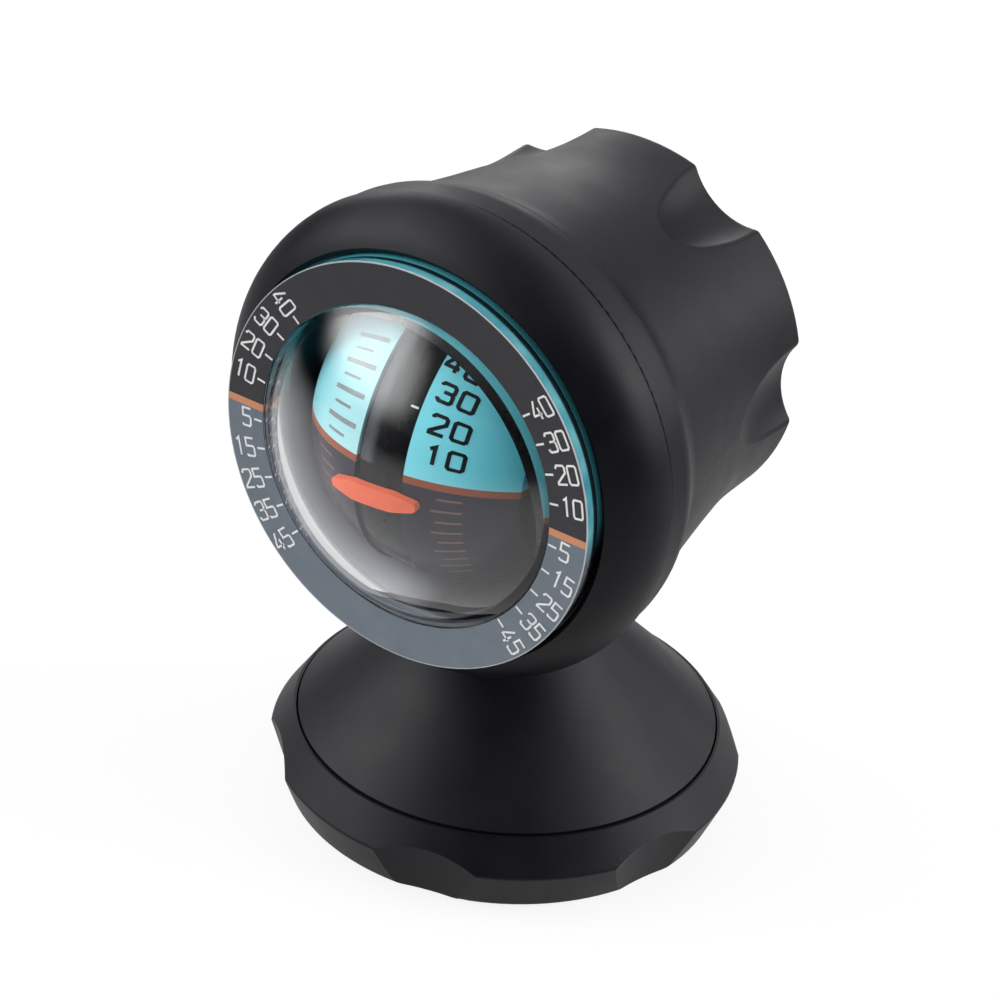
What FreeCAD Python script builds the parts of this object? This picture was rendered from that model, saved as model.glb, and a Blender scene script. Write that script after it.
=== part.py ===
"""Two-axis inclinometer: a liquid-filled meter head that stands on a conical foot by a ball joint.

Millimetres, +Z up. The origin is the centre of the foot's sticky pad, on the table. The dial faces -Y.
The head is worked out along its own axis: its depths count back from the dial's front face.
"""

import FreeCAD
import Part
import math
import os

V = FreeCAD.Vector
UP = V(0, 0, 1)
ACROSS = V(1, 0, 0)
CENTRE = V(0, 0, 0)

# Clearances
slip = 0.05                      # radial gap of a pair that turns or slides
seat_gap = 0.1                   # gap of a pair that rubs lightly on another body
drop_in = 0.15                   # radial gap of a piece dropped into its recess

# Foot
pad_radius = 26.2
pad_thickness = 1.2
pad_proud = 0.3                  # the pad stands this far below the floor of the foot
foot_bottom_radius = 28.8
foot_bottom_round = 0.5
rim_radius = 31.3
rim_height = 6.2
rim_round = 0.5
seam_radius = 28.0               # bore of the foot's mouth, where the cone cover drops in
seam_height = 10.7
seam_land = 0.35                 # flat width round the mouth
seam_gap = 0.25
ledge_depth = 3.2                # mouth down to the ledge that carries the cone cover
foot_wall_radius = 25.9          # inside of the foot's ring
floor_thickness = 2.0
grip_count = 6
grip_turn = 15.0                 # first grip, degrees from the dial's direction
grip_radius = 31.0
grip_low_radius = 28.1           # middle of a grip at the table
grip_high_radius = 30.1          # middle of a grip at its upper edge
grip_high = 7.9

# Cone cover and its socket
cover_wall = 1.8
cover_lip_radius = 9.8           # outside of the neck's top
cover_lip_round = 0.8
cover_skirt_wall = 1.65
ball_radius = 6.5
ball_drop = 4.8                  # ball's centre below the top of the cone cover
liner_wall = 0.75
liner_mouth_angle = 50.0         # half angle of the liner's open top
liner_tail_angle = 148.0         # half angle at which the liner stops below
socket_tube_wall = 2.2
socket_tube_bottom = 13.0
seat_top = 21.8
seat_bore_radius = 2.6
spring_count = 4                 # disc springs, stacked face to face and back to back
spring_outer_radius = 6.4
spring_inner_radius = 3.3
spring_sheet = 0.5
spring_rise = 0.7
spring_boss_radius = 6.8
spring_boss_wall = 2.2
spring_boss_height = 6.4

# Screws from below
screw_count = 3
screw_circle = 19.5
screw_turn = 30.0
screw_head_radius = 2.4
screw_head_height = 1.5
screw_radius = 1.25
screw_length = 9.0
screw_drive_radius = 1.0
screw_drive_depth = 0.8
floor_boss_radius = 4.3
floor_boss_height = 1.8
post_radius = 3.2

# Stud between the ball and the head
shank_radius = 3.0
shoulder_radius = 3.9
shoulder_thickness = 0.9
washer_radius = 5.4
washer_thickness = 0.8
nut_across_flats = 9.0
nut_thickness = 2.2
stud_past_nut = 0.5

# Head
head_stand = 37.3                # head's axis above the ball's centre
dial_front = 28.0                # dial face in front of the foot's axis
bezel_gap = 0.3                  # bezel's bore round the back of the flange
bezel_lip_thickness = 1.6
bezel_chamfer_width = 0.7
bezel_front = 2.75
bezel_chamfer_depth = 0.6
bezel_slope = 26.8               # degrees, front face against the dial's plane
bezel_side = 5.25                # dial's edge out to the bezel's side
bezel_round = 8.3
bezel_back = 10.5
groove_depth = 0.85
collar_front = 11.0
spigot_length = 3.6
spigot_inset = 2.75              # bezel's side in to its spigot
spigot_wall = 1.2
collar_step = 0.55               # bezel's side in to the collar
collar_edge_round = 0.5
collar_back = 15.5
collar_back_round = 3.5
shoulder_drop = 1.6
shoulder_edge_back = 17.9
shoulder_edge_round = 8.0
waist_drop = 2.0
body_waist = 28.3
body_flare_round = 60.0
flare_drop = 2.0
body_flare = 40.0
housing_back = 50.5
housing_wall = 2.2
ledge_reach = 1.6                # ledge that the clamp ring leans on, in from that ring's side
ledge_thickness = 2.4
scallop_count = 6
scallop_tube = 9.2
scallop_reach = 36.0
scallop_back = 50.0
scallop_depth = 2.6              # body's side in to a scallop's floor
scallop_edge_round = 1.0
neck_boss_radius = 5.2
neck_boss_stand = 1.1            # underside of the neck boss below the body's side
neck_pad_radius = 6.6
neck_pad_depth = 3.2             # washer's seat above the body's side

# Capsule
dial_radius = 27.0
flange_taper = 0.4
dial_inner_radius = 21.55
dial_print = 0.15
flange_back = 2.7
dome_radius = 30.2
dome_rise = 8.8
dome_wall = 2.0
cup_bore_radius = 21.4
cup_wall = 1.5
float_depth = 15.1
cup_flange_thickness = 2.0
gasket_inset = 1.8               # flange's back edge in to the seal
gasket_width = 1.4
gasket_thickness = 0.6
clamp_gasket_thickness = 0.8
clamp_wall = 2.0
clamp_inset = 0.95
rear_boss_radius = 5.0
rear_boss_back = 46.0
bush_radius = 2.6
bush_front = 35.9
bush_back = 42.6
bush_flange_radius = 3.6
bush_flange = 0.6
plug_radius = 3.4
plug_length = 1.8
plug_head_radius = 4.4
plug_head = 0.8

# Roll frame
float_radius = 20.0
plate_radius = 19.6
plate_half_width = 3.1
pivot_radius = 1.0
roll_axle_grip = 4.0
thrust_radius = 1.9
clip_thickness = 0.5
clip_radius = 2.1
clip_seat_radius = 0.7
plate_bush_radius = 2.2
plate_bush_length = 1.4
plate_weight_radius = 4.2
plate_weight_drop = 13.0
plate_weight_half_width = 2.9
pointer_front = -6.0
pointer_thickness = 0.95
pointer_half_length = 6.0
pointer_half_height = 1.25
pointer_tip_half_height = 0.55
pointer_taper = 3.2
pointer_tip_round = 0.5
pointer_side_round = 3.0
pointer_tilt = 4.0               # right tip up, degrees
pointer_drop = 0.9
stem_radius = 0.8
stem_grip = 2.5

# Slope drums
drum_inner_face = 3.4
drum_outer_face = 15.5
drum_wall = 1.2
drum_cover_thickness = 1.0
drum_cover_gap = 0.05
hub_radius = 2.4
drum_weight_inner_radius = 9.0
drum_weight_front = 5.5
drum_weight_back = 9.5
drum_weight_span = 80.0

# Places that follow from the sizes above
floor_bottom = pad_thickness
floor_top = floor_bottom + floor_thickness
ledge_height = seam_height - ledge_depth
spring_bottom = floor_top + spring_boss_height
spring_top = spring_bottom + spring_count * (spring_rise + spring_sheet)
seat_bottom = spring_top + seat_gap
liner_radius = ball_radius + slip + liner_wall
socket_radius = liner_radius + slip
cone_sum = seam_radius + seam_height
cover_top = cone_sum - cover_lip_radius
ball_height = cover_top - ball_drop
float_back = float_depth + plate_radius
head_height = ball_height + head_stand
dial_back_radius = dial_radius - flange_taper
gasket_outer_radius = dial_back_radius - gasket_inset
gasket_inner_radius = gasket_outer_radius - gasket_width
bezel_bore_radius = dial_back_radius + bezel_gap
bezel_chamfer_radius = bezel_bore_radius + bezel_chamfer_width
bezel_radius = dial_radius + bezel_side
groove_radius = bezel_radius - groove_depth
spigot_radius = bezel_radius - spigot_inset
cup_flange_radius = spigot_radius - spigot_wall - drop_in
clamp_radius = cup_flange_radius - clamp_inset
ledge_radius = clamp_radius - ledge_reach
collar_radius = bezel_radius - collar_step
shoulder_edge_radius = collar_radius - shoulder_drop
body_waist_radius = shoulder_edge_radius - waist_drop
body_rear_radius = body_waist_radius - flare_drop
scallop_floor_radius = body_rear_radius - scallop_depth
neck_boss_drop = body_waist_radius + neck_boss_stand
neck_pad_drop = body_waist_radius - neck_pad_depth


def outline(corners):
    """Closed face in the XZ plane, from corners (x, z) or, where a corner is rounded, (x, z, radius)."""
    stops = []
    for index, corner in enumerate(corners):
        point = V(corner[0], 0, corner[1])
        before = corners[index - 1]
        after = corners[(index + 1) % len(corners)]
        to_before = (V(before[0], 0, before[1]) - point).normalize()
        to_after = (V(after[0], 0, after[1]) - point).normalize()
        radius = corner[2] if len(corner) == 3 else 0
        half = to_before.getAngle(to_after) / 2
        run = radius / math.tan(half)
        inward = (to_before + to_after) if radius else V(0, 0, 0)
        middle = point
        if radius:
            middle = point + inward.normalize() * (radius / math.sin(half) - radius)
        stops.append((point + to_before * run, middle, point + to_after * run, radius))
    edges = []
    for index, (start, middle, end, radius) in enumerate(stops):
        if radius:
            edges.append(Part.Arc(start, middle, end).toShape())
        edges.append(Part.LineSegment(end, stops[(index + 1) % len(stops)][0]).toShape())
    return Part.Face(Part.Wire(edges))


def turned(corners):
    """Solid turned about the Z axis."""
    return outline(corners).revolve(CENTRE, UP, 360)


def disc(radius, low, high):
    """Upright cylinder on the Z axis between two heights."""
    return Part.makeCylinder(radius, high - low, V(0, 0, low))


def ring(outer, inner, low, high):
    return disc(outer, low, high).cut(disc(inner, low, high))


def cross_bar(radius, left, right):
    """Cylinder along X."""
    return Part.makeCylinder(radius, right - left, V(left, 0, 0), ACROSS)


def slab(left, right, reach):
    """Block between two planes of constant X."""
    return Part.makeBox(right - left, 2 * reach, 2 * reach, V(left, -reach, -reach))


def on_head(shape):
    """Moves a shape from the head's own frame, where Z is the depth behind the dial, to its place."""
    placed = shape.copy()
    placed.rotate(CENTRE, ACROSS, -90)
    placed.translate(V(0, -dial_front, head_height))
    return placed


def at_float(shape):
    """Moves a shape that was made about the float's centre, in the part's own axes, to its place."""
    placed = shape.copy()
    placed.translate(V(0, float_depth - dial_front, head_height))
    return placed


def around(shape, count, first=0.0):
    """Copies of a shape, evenly spaced about the Z axis."""
    copies = []
    for index in range(count):
        copy = shape.copy()
        copy.rotate(CENTRE, UP, first + index * 360.0 / count)
        copies.append(copy)
    return copies


# ---- Foot ---------------------------------------------------------------------------------------

def make_adhesive_pad():
    return disc(pad_radius, 0, pad_thickness)


def foot_grip():
    """Cutter of one shallow grip: a leaning cylinder outside the ring, on the +X side."""
    lean = math.degrees(math.atan2(grip_high_radius - grip_low_radius, grip_high))
    reach = 2 * seam_height
    cutter = Part.makeCylinder(grip_radius, 2 * reach, V(grip_radius, 0, -reach))
    cutter.rotate(CENTRE, V(0, 1, 0), lean)
    cutter.translate(V(grip_low_radius, 0, 0))
    return cutter


def screw_places(shape):
    placed = shape.copy()
    placed.translate(V(screw_circle, 0, 0))
    return around(placed, screw_count, screw_turn)


def make_foot():
    recess_radius = pad_radius + drop_in
    body = turned([
        (0, floor_bottom), (recess_radius, floor_bottom), (recess_radius, pad_proud),
        (foot_bottom_radius, pad_proud, foot_bottom_round), (rim_radius, rim_height, rim_round),
        (seam_radius + seam_land, seam_height), (seam_radius, seam_height),
        (seam_radius, ledge_height), (foot_wall_radius, ledge_height),
        (foot_wall_radius, floor_top), (0, floor_top),
    ])
    body = body.cut(Part.makeCompound(around(foot_grip(), grip_count, grip_turn - 90)))
    bosses = screw_places(disc(floor_boss_radius, floor_top, floor_top + floor_boss_height))
    bosses.append(ring(spring_boss_radius, spring_boss_radius - spring_boss_wall, floor_top, spring_bottom))
    body = body.fuse(bosses)
    head_room = disc(screw_head_radius + drop_in, floor_bottom, floor_bottom + screw_head_height)
    through = disc(screw_radius + drop_in, floor_bottom, floor_top + floor_boss_height)
    body = body.cut(screw_places(head_room.fuse(through)))
    return body.removeSplitter()


def make_cover_screws():
    head = disc(screw_head_radius, floor_bottom, floor_bottom + screw_head_height)
    under_head = floor_bottom + screw_head_height
    shank = disc(screw_radius, under_head, under_head + screw_length)
    screw = head.fuse(shank)
    drive = Part.Face(Part.makePolygon([
        V(screw_drive_radius * math.cos(math.radians(60 * k)),
          screw_drive_radius * math.sin(math.radians(60 * k)), floor_bottom)
        for k in range(7)
    ]))
    screw = screw.cut(drive.extrude(V(0, 0, screw_drive_depth)))
    return Part.makeCompound(screw_places(screw))


def make_cone_cover():
    outside = seam_radius - seam_gap
    inside = outside - cover_skirt_wall
    skin = cover_wall * math.sqrt(2)
    tube_radius = socket_radius + socket_tube_wall
    shell = turned([
        (outside, ledge_height), (outside, cone_sum - outside),
        (cover_lip_radius, cover_top, cover_lip_round), (0, cover_top),
        (0, cone_sum - skin - tube_radius), (tube_radius, cone_sum - skin - tube_radius),
        (inside, cone_sum - skin - inside), (inside, ledge_height),
    ])
    tube = disc(tube_radius, socket_tube_bottom, cone_sum - skin - tube_radius)
    posts_bottom = floor_top + floor_boss_height
    posts = screw_places(disc(post_radius, posts_bottom, cone_sum - skin / 2 - screw_circle))
    envelope = turned([
        (0, 0), (outside, 0), (outside, cone_sum - outside), (0, cone_sum),
    ])
    posts = [post.common(envelope) for post in posts]
    cover = shell.fuse([tube] + posts)
    socket = Part.makeSphere(socket_radius, V(0, 0, ball_height))
    bore = disc(socket_radius, socket_tube_bottom, ball_height)
    pilot_top = floor_bottom + screw_head_height + screw_length
    pilots = screw_places(disc(screw_radius, posts_bottom, pilot_top))
    cover = cover.cut([socket, bore] + pilots)
    return cover.removeSplitter()


def make_seat_springs():
    """Stack of conical disc springs, turned over one after another."""
    springs = []
    for index in range(spring_count):
        low = spring_bottom + index * (spring_rise + spring_sheet)
        outer_lift = spring_rise * (index % 2)
        inner_lift = spring_rise - outer_lift
        springs.append(turned([
            (spring_inner_radius, low + inner_lift), (spring_outer_radius, low + outer_lift),
            (spring_outer_radius, low + outer_lift + spring_sheet),
            (spring_inner_radius, low + inner_lift + spring_sheet),
        ]))
    return Part.makeCompound(springs)


# ---- Ball joint ---------------------------------------------------------------------------------

def make_ball_seat():
    body = disc(socket_radius - slip, seat_bottom, seat_top)
    cup = Part.makeSphere(liner_radius + slip, V(0, 0, ball_height))
    return body.cut([cup, disc(seat_bore_radius, seat_bottom, seat_top)])


def make_ball_liner():
    centre = V(0, 0, ball_height)
    shell = Part.makeSphere(liner_radius, centre)
    shell = shell.cut(Part.makeSphere(liner_radius - liner_wall, centre))
    mouth = liner_radius * math.cos(math.radians(liner_mouth_angle))
    tail = liner_radius * math.cos(math.radians(liner_tail_angle))
    return shell.common(disc(2 * liner_radius, ball_height + tail, ball_height + mouth))


def stud_top():
    return head_height - neck_pad_drop + washer_thickness + nut_thickness + stud_past_nut


def make_ball_stud():
    ball = Part.makeSphere(ball_radius, V(0, 0, ball_height))
    shank = disc(shank_radius, ball_height, stud_top())
    underside = head_height - neck_boss_drop
    shoulder = disc(shoulder_radius, underside - shoulder_thickness, underside)
    return ball.fuse([shank, shoulder]).removeSplitter()


def make_stud_washer():
    low = head_height - neck_pad_drop
    return ring(washer_radius, shank_radius + drop_in, low, low + washer_thickness)


def make_stud_nut():
    low = head_height - neck_pad_drop + washer_thickness
    corner = nut_across_flats / 2 / math.cos(math.radians(30))
    hexagon = Part.Face(Part.makePolygon([
        V(corner * math.cos(math.radians(60 * k)), corner * math.sin(math.radians(60 * k)), low)
        for k in range(7)
    ]))
    nut = hexagon.extrude(V(0, 0, nut_thickness))
    return nut.cut(disc(shank_radius, low, low + nut_thickness))


# ---- Head casing, in the head's own frame ----------------------------------------------------------

def body_outline(inset, back):
    """Corners of the tapering body, moved inwards by inset, from its waist to its back."""
    return [
        (body_waist_radius - inset, body_waist),
        (body_rear_radius - inset, body_flare, body_flare_round),
        (body_rear_radius - inset, back),
        (0, back),
    ]


def scallops(grow):
    """The finger scallops' cutters, grown by the wall where they shape the inside."""
    tube = scallop_tube + grow
    cutter = Part.makeTorus(scallop_reach - scallop_tube, tube, CENTRE, V(0, 1, 0))
    cutter.translate(V(scallop_floor_radius + scallop_reach, 0, scallop_back))
    return Part.makeCompound(around(cutter, scallop_count))


def soft_edges(body):
    """Rounds the scallops' rims and the rear edge between them."""
    rims = [edge for edge in body.Edges if edge.Curve.TypeId == "Part::GeomBSplineCurve"]
    rear = [edge for edge in body.Edges if edge.CenterOfMass.z > housing_back - slip]
    sharp = rims + [edge for edge in rear if edge.Curve.TypeId == "Part::GeomCircle"]
    return body.makeFillet(scallop_edge_round, sharp)


def neck_bore(radius, top_drop, bottom_drop):
    """Upright cylinder on the foot's axis, given in the head's frame by its drops below the axis."""
    return Part.makeCylinder(radius, bottom_drop - top_drop, V(0, top_drop, dial_front), V(0, 1, 0))


def make_housing():
    outer = turned([
        (0, collar_front), (collar_radius, collar_front, collar_edge_round),
        (collar_radius, collar_back, collar_back_round),
        (shoulder_edge_radius, shoulder_edge_back, shoulder_edge_round),
    ] + body_outline(0, housing_back))
    ledge_front = collar_front + spigot_length + slip
    inner = turned([
        (0, collar_front), (spigot_radius + slip, collar_front), (spigot_radius + slip, ledge_front),
        (ledge_radius, ledge_front), (ledge_radius, ledge_front + ledge_thickness),
        (shoulder_edge_radius - housing_wall, ledge_front + ledge_thickness),
    ] + body_outline(housing_wall, housing_back - housing_wall))
    shell = soft_edges(outer.cut(scallops(0))).cut(inner.cut(scallops(housing_wall)))
    boss = neck_bore(neck_boss_radius, body_waist_radius - housing_wall, neck_boss_drop)
    pad = neck_bore(neck_pad_radius, neck_pad_drop, body_waist_radius - housing_wall / 2)
    shell = shell.fuse([boss, pad])
    shell = shell.cut(neck_bore(shank_radius + drop_in, 0, neck_boss_drop))
    return on_head(shell.removeSplitter())


def make_bezel():
    slope = math.tan(math.radians(bezel_slope))
    lip_back = flange_back + bezel_lip_thickness
    cavity_radius = spigot_radius - spigot_wall
    edge = bezel_front + (bezel_radius - bezel_chamfer_radius) * slope
    body = turned([
        (bezel_bore_radius, bezel_front + bezel_chamfer_depth),
        (bezel_chamfer_radius, bezel_front),
        (bezel_radius, edge, bezel_round),
        (bezel_radius, bezel_back), (groove_radius, bezel_back),
        (groove_radius, collar_front), (spigot_radius, collar_front),
        (spigot_radius, collar_front + spigot_length),
        (cavity_radius, collar_front + spigot_length), (cavity_radius, lip_back),
        (bezel_bore_radius, lip_back),
    ])
    return on_head(body)


def make_clamp_gasket():
    low = flange_back + bezel_lip_thickness + cup_flange_thickness
    return on_head(ring(clamp_radius, clamp_radius - clamp_wall, low, low + clamp_gasket_thickness))


def make_clamp_ring():
    low = flange_back + bezel_lip_thickness + cup_flange_thickness + clamp_gasket_thickness
    ledge_front = collar_front + spigot_length + slip
    return on_head(ring(clamp_radius, clamp_radius - clamp_wall, low, ledge_front))


# ---- Capsule, in the head's own frame --------------------------------------------------------------

def make_dome_lens():
    flange = turned([
        (0, dial_print), (dial_radius, dial_print), (dial_back_radius, flange_back), (0, flange_back),
    ])
    middle = V(0, 0, dome_radius - dome_rise)
    dome = Part.makeSphere(dome_radius, middle)
    dome = dome.common(disc(dial_inner_radius, -dome_rise, flange_back))
    solid = flange.fuse(dome)
    return on_head(solid.cut(Part.makeSphere(dome_radius - dome_wall, middle)).removeSplitter())


def make_scale_ring():
    return on_head(ring(dial_radius, dial_inner_radius, 0, dial_print))


def make_capsule_cup():
    middle = V(0, 0, float_depth)
    cup_radius = cup_bore_radius + cup_wall
    flange_front = flange_back + bezel_lip_thickness
    body = disc(cup_radius, flange_back, float_depth).fuse([
        disc(dial_back_radius, flange_back, flange_front),
        disc(cup_flange_radius, flange_front, flange_front + cup_flange_thickness),
        Part.makeSphere(cup_radius, middle).common(disc(cup_radius, float_depth, float_depth + cup_radius)),
        disc(rear_boss_radius, float_depth + cup_bore_radius, rear_boss_back),
    ])
    body = body.cut([
        disc(cup_bore_radius, flange_back, float_depth),
        Part.makeSphere(cup_bore_radius, middle),
        ring(gasket_outer_radius, gasket_inner_radius, flange_back, flange_back + gasket_thickness),
        disc(bush_radius, float_depth, bush_back),
        disc(plug_radius, bush_back, rear_boss_back),
    ])
    return on_head(body.removeSplitter())


def make_capsule_gasket():
    return on_head(ring(gasket_outer_radius, gasket_inner_radius, flange_back, flange_back + gasket_thickness))


def make_rear_bush():
    body = disc(bush_radius, bush_front, bush_back)
    body = body.fuse(ring(bush_flange_radius, bush_radius, bush_front, bush_front + bush_flange))
    flange_clear = Part.makeSphere(cup_bore_radius, V(0, 0, float_depth))
    flange = body.common(flange_clear).fuse(disc(bush_radius, bush_front, bush_back))
    return on_head(flange.cut(disc(pivot_radius + slip, bush_front, bush_back)).removeSplitter())


def make_fill_plug():
    body = disc(plug_radius, rear_boss_back - plug_length, rear_boss_back)
    return on_head(body.fuse(disc(plug_head_radius, rear_boss_back, rear_boss_back + plug_head)))


# ---- Roll frame ------------------------------------------------------------------------------------

def make_centre_plate():
    plate = Part.makeSphere(plate_radius).common(slab(-plate_half_width, plate_half_width, plate_radius))
    weight_hole = cross_bar(plate_weight_radius, -plate_half_width, plate_half_width)
    weight_hole.translate(V(0, 0, -plate_weight_drop))
    bush_hole = cross_bar(plate_bush_radius, -plate_half_width, plate_half_width)
    axle_hole = Part.makeCylinder(pivot_radius, roll_axle_grip, V(0, plate_radius - roll_axle_grip, 0), V(0, 1, 0))
    stem_hole = Part.makeCylinder(stem_radius, stem_grip, V(0, -plate_radius, -pointer_drop), V(0, 1, 0))
    return at_float(plate.cut([weight_hole, bush_hole, axle_hole, stem_hole]))


def make_plate_weight():
    weight = cross_bar(plate_weight_radius, -plate_weight_half_width, plate_weight_half_width)
    weight.translate(V(0, 0, -plate_weight_drop))
    return at_float(weight)


def make_axle_bushes():
    bushes = []
    for left in (-plate_half_width, plate_half_width - plate_bush_length):
        bush = cross_bar(plate_bush_radius, left, left + plate_bush_length)
        bushes.append(bush.cut(cross_bar(pivot_radius + slip, left, left + plate_bush_length)))
    return at_float(Part.makeCompound(bushes))


def make_roll_axle():
    clip_front = bush_back + seat_gap
    end = clip_front + clip_thickness + 2 * seat_gap
    body = disc(pivot_radius, float_back - roll_axle_grip, end)
    body = body.fuse(disc(thrust_radius, float_back, bush_front - seat_gap))
    groove = ring(pivot_radius, clip_seat_radius, clip_front, clip_front + clip_thickness)
    return on_head(body.cut(groove).removeSplitter())


def make_axle_clip():
    low = bush_back + seat_gap
    clip = ring(clip_radius, clip_seat_radius, low, low + clip_thickness)
    mouth = Part.makeBox(clip_radius, 2 * clip_seat_radius, clip_thickness, V(0, -clip_seat_radius, low))
    return on_head(clip.cut(mouth))


def make_pointer():
    """Bar that follows the dome's curve, tapered to its tips, on a round stem into the plate."""
    front_radius = dome_radius - dome_rise - pointer_front
    middle = V(0, 0, dome_radius - dome_rise)
    shell = Part.makeSphere(front_radius, middle)
    shell = shell.cut(Part.makeSphere(front_radius - pointer_thickness, middle))
    inner = pointer_half_length - pointer_taper
    face = outline([
        (-pointer_half_length, -pointer_tip_half_height, pointer_tip_round),
        (-inner, -pointer_half_height, pointer_side_round), (inner, -pointer_half_height, pointer_side_round),
        (pointer_half_length, -pointer_tip_half_height, pointer_tip_round),
        (pointer_half_length, pointer_tip_half_height, pointer_tip_round),
        (inner, pointer_half_height, pointer_side_round), (-inner, pointer_half_height, pointer_side_round),
        (-pointer_half_length, pointer_tip_half_height, pointer_tip_round),
    ])
    prism = face.extrude(V(0, 2 * front_radius, 0))
    prism.rotate(CENTRE, ACROSS, -90)
    prism.rotate(CENTRE, UP, -pointer_tilt)
    prism.translate(V(0, pointer_drop, 0))
    stem_back = float_depth - plate_radius + stem_grip
    stem = Part.makeCylinder(stem_radius, stem_back - pointer_front - pointer_thickness / 2,
                             V(0, pointer_drop, pointer_front + pointer_thickness / 2))
    return on_head(shell.common(prism).fuse(stem).removeSplitter())


# ---- Slope drums -----------------------------------------------------------------------------------

def mirrored(shape):
    return shape.mirror(CENTRE, ACROSS)


def right_drum():
    wall_radius = float_radius - drum_wall
    cover_back = drum_inner_face + drum_cover_thickness
    body = Part.makeSphere(float_radius).common(slab(drum_inner_face, drum_outer_face, float_radius))
    hollow = Part.makeSphere(wall_radius).common(slab(drum_inner_face, drum_outer_face - drum_wall, float_radius))
    cover_seat = cross_bar(wall_radius, drum_inner_face, cover_back)
    hub = cross_bar(hub_radius, cover_back, drum_outer_face - drum_wall)
    body = body.cut(hollow.fuse(cover_seat).cut(hub))
    return body.cut(cross_bar(pivot_radius, drum_inner_face, drum_outer_face - drum_wall)).removeSplitter()


def right_drum_cover():
    cover = cross_bar(float_radius - drum_wall - drum_cover_gap, drum_inner_face, drum_inner_face + drum_cover_thickness)
    return cover.cut(cross_bar(pivot_radius, drum_inner_face, drum_inner_face + drum_cover_thickness))


def right_drum_weight():
    outer = math.sqrt((float_radius - drum_wall) ** 2 - drum_weight_back ** 2)
    span = drum_weight_back - drum_weight_front
    weight = Part.makeCylinder(outer, span, CENTRE, UP, drum_weight_span)
    weight = weight.cut(disc(drum_weight_inner_radius, 0, span))
    weight.rotate(CENTRE, UP, -drum_weight_span / 2)
    weight.rotate(CENTRE, V(0, 1, 0), 90)
    weight.translate(V(drum_weight_front, 0, 0))
    return weight


def make_pitch_axle():
    reach = drum_outer_face - drum_wall
    return at_float(cross_bar(pivot_radius, -reach, reach))


def make_drum_weights():
    weight = right_drum_weight()
    return at_float(Part.makeCompound([mirrored(weight), weight]))


PIECES = {
    "adhesive_pad": make_adhesive_pad,
    "foot": make_foot,
    "cone_cover": make_cone_cover,
    "cover_screws": make_cover_screws,
    "seat_springs": make_seat_springs,
    "ball_seat": make_ball_seat,
    "ball_liner": make_ball_liner,
    "ball_stud": make_ball_stud,
    "stud_washer": make_stud_washer,
    "stud_nut": make_stud_nut,
    "housing": make_housing,
    "bezel": make_bezel,
    "clamp_ring": make_clamp_ring,
    "clamp_gasket": make_clamp_gasket,
    "dome_lens": make_dome_lens,
    "scale_ring": make_scale_ring,
    "capsule_cup": make_capsule_cup,
    "capsule_gasket": make_capsule_gasket,
    "rear_bush": make_rear_bush,
    "fill_plug": make_fill_plug,
    "centre_plate": make_centre_plate,
    "pointer": make_pointer,
    "roll_axle": make_roll_axle,
    "axle_clip": make_axle_clip,
    "axle_bushes": make_axle_bushes,
    "plate_weight": make_plate_weight,
    "left_drum": lambda: at_float(mirrored(right_drum())),
    "right_drum": lambda: at_float(right_drum()),
    "left_drum_cover": lambda: at_float(mirrored(right_drum_cover())),
    "right_drum_cover": lambda: at_float(right_drum_cover()),
    "pitch_axle": make_pitch_axle,
    "drum_weights": make_drum_weights,
}

os.makedirs("parts", exist_ok=True)
for name, make in PIECES.items():
    shape = make()
    shape.exportStep("parts/" + name + ".step")
    print(name, len(shape.Solids), round(shape.Volume, 1), shape.isValid())
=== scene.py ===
"""Looks of the two-axis inclinometer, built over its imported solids.

Metres, +Z up, the dial faces -Y."""

import bmesh
import bpy
import math
from mathutils import Matrix, Vector


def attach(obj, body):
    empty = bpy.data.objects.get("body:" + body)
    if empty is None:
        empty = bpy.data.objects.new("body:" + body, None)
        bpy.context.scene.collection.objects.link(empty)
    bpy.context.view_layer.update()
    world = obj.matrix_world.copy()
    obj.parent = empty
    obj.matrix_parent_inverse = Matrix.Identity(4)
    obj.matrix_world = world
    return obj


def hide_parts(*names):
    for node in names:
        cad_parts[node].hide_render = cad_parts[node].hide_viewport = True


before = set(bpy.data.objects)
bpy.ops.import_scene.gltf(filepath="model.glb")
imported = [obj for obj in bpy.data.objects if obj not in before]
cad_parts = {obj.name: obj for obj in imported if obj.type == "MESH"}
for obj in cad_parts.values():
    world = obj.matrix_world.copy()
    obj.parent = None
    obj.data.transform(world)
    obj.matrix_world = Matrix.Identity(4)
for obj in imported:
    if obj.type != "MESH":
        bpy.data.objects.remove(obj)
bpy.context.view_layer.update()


# ---- Foot and cone cover -------------------------------------------------------------------------
# Two injection-moulded black plastic shells with a fine spark-eroded grain. The cone cover drops
# into the foot's mouth and is held by three screws from below, so only a thin black seam shows.

def setting(material, name):
    """A named socket of a finish's Principled shader."""
    return material.node_tree.nodes["Principled BSDF"].inputs[name]


def new_finish(name, colour, roughness):
    """A material with its Principled shader set to one colour and roughness."""
    material = bpy.data.materials.new(name)
    material.use_nodes = True
    setting(material, "Base Color").default_value = (*colour, 1)
    setting(material, "Roughness").default_value = roughness
    return material


def speckle(material, size, detail=3.0):
    """Noise of one grain size, in metres, on the piece's own coordinates."""
    nodes = material.node_tree.nodes
    links = material.node_tree.links
    places = nodes.new("ShaderNodeTexCoord")
    noise = nodes.new("ShaderNodeTexNoise")
    noise.inputs["Scale"].default_value = 1.0 / size
    noise.inputs["Detail"].default_value = detail
    links.new(places.outputs["Object"], noise.inputs["Vector"])
    return noise.outputs["Fac"]


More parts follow.
